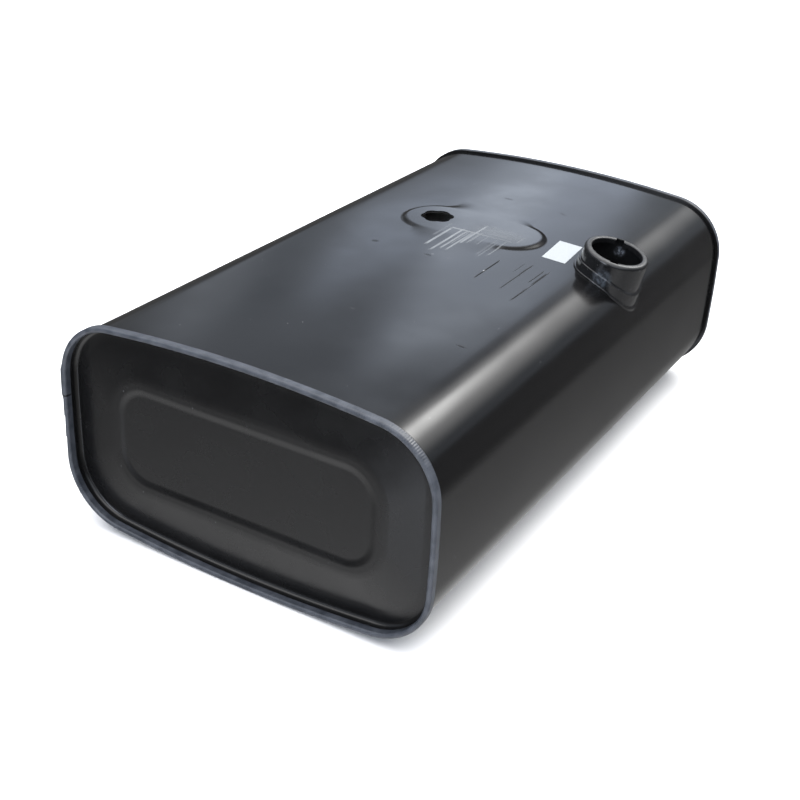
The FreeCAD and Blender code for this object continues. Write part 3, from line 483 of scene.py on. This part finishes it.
def make_metal(name, dark, bright, roughness, metallic=1.0):
    """Bare or plated metal with a fine grain and cloudy tone."""
    material, tree, shader, place = new_material(name)
    cloud = noise(tree, place, 60.0, 5.0)
    tone = mix_colour(tree, cloud, dark, bright)
    rough = ramp(tree, noise(tree, place, 300.0, 3.0), 0.3, 0.7, roughness * 0.8, roughness * 1.2)
    set_inputs(tree, shader, Base_Color=tone, Roughness=rough, Metallic=metallic,
               Normal=orange_peel(tree, place, 0.12))
    return material


def make_label_paper():
    """Blank white paper with faint fibres and creases."""
    material, tree, shader, place = new_material("label_paper")
    fibre = noise(tree, place, 700.0, 4.0, 0.7)
    crease = noise(tree, place, 55.0, 2.0)
    tone = mix_colour(tree, ramp(tree, fibre, 0.3, 0.7), (0.32, 0.34, 0.355, 1), (0.405, 0.43, 0.445, 1))
    fold = add_node(tree, "ShaderNodeBump", {"Height": crease, "Strength": 0.6, "Distance": 0.0008})
    fine = add_node(tree, "ShaderNodeBump", {"Height": fibre, "Strength": 0.2, "Distance": 0.0001,
                                             "Normal": fold.outputs[0]})
    set_inputs(tree, shader, Base_Color=tone, Roughness=0.62, Normal=fine.outputs[0])
    return material


# The wrapped shell

def arc_stations(centre, radius, start, end, count):
    """Points on an arc as (y, z, outward y, outward z), without its last point."""
    angles = [math.radians(start + (end - start) * k / count) for k in range(count)]
    return [(centre[0] + radius * math.cos(a), centre[1] + radius * math.sin(a), math.cos(a), math.sin(a))
            for a in angles]


def section_stations():
    """Stations round the sheet's outer face, from the middle of the crown, clockwise seen from -X."""
    up = math.degrees(math.atan2(CORNER_Z - CROWN_CENTRE, CORNER_Y))
    low = math.degrees(math.atan2(CORNER_Z, CORNER_Y - SIDE_CENTRE))
    crown, side, corner = CROWN_RADIUS - SKIN, SIDE_RADIUS - SKIN, CORNER_RADIUS - SKIN
    flat = 90 - math.degrees(0.145 / crown)
    quarter = arc_stations((0, CROWN_CENTRE), crown, 90, flat, 58)
    quarter += arc_stations((0, CROWN_CENTRE), crown, flat, up, 9)
    quarter += arc_stations((CORNER_Y, CORNER_Z), corner, up, low, 26)
    quarter += arc_stations((SIDE_CENTRE, 0), side, low, 0, 28)
    low_quarter = arc_stations((SIDE_CENTRE, 0), side, 0, -low, 8)
    low_quarter += arc_stations((CORNER_Y, -CORNER_Z), corner, -low, -up, 26)
    low_quarter += arc_stations((0, -CROWN_CENTRE), crown, -up, -90, 14)
    right = quarter + low_quarter
    bottom = [(0.0, -CROWN_CENTRE - crown, 0.0, -1.0)]
    left = [(-y, z, -ny, nz) for y, z, ny, nz in reversed(right[1:])]
    return [(y, MIDDLE + z, ny, nz) for y, z, ny, nz in right + bottom + left]


def lengthwise_stations():
    """X of the rings of vertices, closer together where the pad is."""
    stops, x = [], -SHELL_END
    while x < SHELL_END - 0.001:
        stops.append(x)
        x += FINE_STEP if FINE_SPAN[0] < x < FINE_SPAN[1] else COARSE_STEP
    return stops + [SHELL_END]


def pad_share(x, y, rise):
    """1 on the flat of the pad, easing to 0 at the foot of its slope, which is long where the pad is low."""
    along = max(abs(y - PAD_Y) - (PAD_HALF_LENGTH - PAD_HALF_WIDTH), 0)
    out = math.hypot(x - PAD_X, along) - PAD_HALF_WIDTH
    run = PAD_RUN + PAD_FADE * (1 - ease(rise, 0.0007, 0.0020))
    t = min(max(out / run, 0), 1)
    return 1 - (0.6 * t + 0.4 * t * t * (3 - 2 * t)) if 0 < t < 1 else 1 - t


def shape_sheet(x, y, z, ny, nz):
    """A point of the sheet with its pad, its lapped seam and the slight waves of thin metal."""
    if z > TOP_FROM:
        share = pad_share(x, y, PAD_TOP - z)
        z += (PAD_TOP - z) * share
    else:
        share = 0
    if ny > 0.9:
        rise = LAP_RISE * ease(abs(z - LAP_Z), LAP_HALF + LAP_FLANK, LAP_HALF)
        y, z = y + ny * rise, z + nz * rise
    clear = ease(math.hypot(x - NECK_FOOT[0], y - NECK_FOOT[1]), 0.10, 0.20)
    clear *= ease(math.hypot(x - DRAIN[0], y - DRAIN[1]), 0.03, 0.08)
    clear *= (1 - share) * ease(SHELL_END - abs(x), 0.004, 0.06)
    sway = wander.noise(Vector((x * 5.5, y * 8.0, z * 8.0))) * 0.5 - 0.5
    dip = WAVE_DEPTH * clear * sway
    return (x, y + ny * dip, z + nz * dip)


def make_mesh_object(name, vertices, faces):
    mesh = bpy.data.meshes.new(name)
    mesh.from_pydata(vertices, [], faces)
    mesh.update()
    piece = bpy.data.objects.new(name, mesh)
    scene.collection.objects.link(piece)
    return piece


def lobed_outline():
    """The sender hole's outline: a bore with six lobes."""
    points = []
    reach = LOBE_REACH - LOBE_RADIUS
    for degree in range(0, 360, 3):
        radius = SENDER_BORE
        for lobe in range(6):
            angle = math.radians(degree - LOBE_TURN - 60 * lobe)
            inside = LOBE_RADIUS ** 2 - (reach * math.sin(angle)) ** 2
            if inside > 0 and math.cos(angle) > 0:
                radius = max(radius, reach * math.cos(angle) + math.sqrt(inside))
        points.append((radius * math.cos(math.radians(degree)), radius * math.sin(math.radians(degree))))
    return points


def circle(radius, count=96):
    angles = [2 * math.pi * k / count for k in range(count)]
    return [(radius * math.cos(a), radius * math.sin(a)) for a in angles]


def cutter_prism(outline, matrix, low, high, vertices, faces):
    """Add a closed prism with this outline, along the matrix's Z, to a list of vertices and faces."""
    first, count = len(vertices), len(outline)
    vertices += [matrix @ Vector((x, y, z)) for z in (low, high) for x, y in outline]
    faces.append([first + k for k in reversed(range(count))])
    faces.append([first + count + k for k in range(count)])
    for k in range(count):
        n = (k + 1) % count
        faces.append([first + k, first + n, first + count + n, first + count + k])


def make_hole_cutter():
    vertices, faces = [], []
    cutter_prism(lobed_outline(), Matrix.Translation((*SENDER, 0)), TOP_FROM, 0.36, vertices, faces)
    neck = Matrix.Translation(NECK_MOUTH) @ Matrix.Rotation(math.radians(NECK_TILT), 4, "X")
    cutter_prism(circle(NECK_HOLE), neck, -0.12, 0.02, vertices, faces)
    cutter_prism(circle(DRAIN_HOLE, 48), Matrix.Translation((*DRAIN, 0)), -0.02, 0.02, vertices, faces)
    return make_mesh_object("cutter", vertices, faces)


def bake_modifiers(piece):
    """Turn the modified shape into the piece's own mesh."""
    shape = piece.evaluated_get(bpy.context.evaluated_depsgraph_get())
    mesh = bpy.data.meshes.new_from_object(shape)
    piece.modifiers.clear()
    piece.data = mesh


def make_shell():
    """The wrapped sheet with its thickness, its pad and its three holes."""
    stations, stops = section_stations(), lengthwise_stations()
    around = len(stations)
    vertices = [shape_sheet(x, *station) for x in stops for station in stations]
    faces = []
    for ring in range(len(stops) - 1):
        for k in range(around):
            n = (k + 1) % around
            a, b = ring * around, (ring + 1) * around
            faces.append((a + k, b + k, b + n, a + n))
    shell = make_mesh_object("wrapped_shell", vertices, faces)
    thick = shell.modifiers.new("thickness", "SOLIDIFY")
    thick.thickness = SHEET
    thick.offset = -1
    thick.material_offset = 1
    shell.data.materials.append(materials["shell_paint"])
    shell.data.materials.append(materials["inner_steel"])
    cutter = make_hole_cutter()
    holes = shell.modifiers.new("holes", "BOOLEAN")
    holes.operation = "DIFFERENCE"
    holes.object = cutter
    holes.solver = "EXACT"
    bake_modifiers(shell)
    bpy.data.objects.remove(cutter)
    shell.data.set_sharp_from_angle(angle=math.radians(35))
    shell.data.shade_smooth()
    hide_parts("shell")
    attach(shell, "root")


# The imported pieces

DRESSES = {
    "shell": "shell_paint",
    "end_plate_front": "end_paint",
    "end_plate_rear": "end_paint",
    "filler_neck": "neck_paint",
    "neck_collar": "neck_paint",
    "drain_boss": "shell_paint",
    "baffle_front": "inner_steel",
    "baffle_rear": "inner_steel",
    "sender_ring": "ring_steel",
    "drain_plug": "plug_zinc",
    "drain_washer": "washer_copper",
    "label": "label_paper",
}


def dress(node, material):
    mesh = nodes[node].data
    mesh.materials.clear()
    mesh.materials.append(materials[material])


add_camera()
add_studio()
add_floor()
scene.view_settings.view_transform = "Standard"

materials = {
    "shell_paint": make_shell_paint(),
    "end_paint": make_plate_paint(),
    "neck_paint": make_neck_paint(),
    "inner_steel": make_metal("inner_steel", (0.24, 0.24, 0.23, 1), (0.36, 0.36, 0.35, 1), 0.5, 0.5),
    "ring_steel": make_metal("ring_steel", (0.014, 0.014, 0.013, 1), (0.028, 0.028, 0.026, 1), 0.5, 0.0),
    "plug_zinc": make_metal("plug_zinc", (0.42, 0.42, 0.41, 1), (0.62, 0.63, 0.62, 1), 0.36),
    "washer_copper": make_metal("washer_copper", (0.48, 0.20, 0.10, 1), (0.72, 0.36, 0.22, 1), 0.32),
    "label_paper": make_label_paper(),
}
make_shell()
for node, material in DRESSES.items():
    dress(node, material)
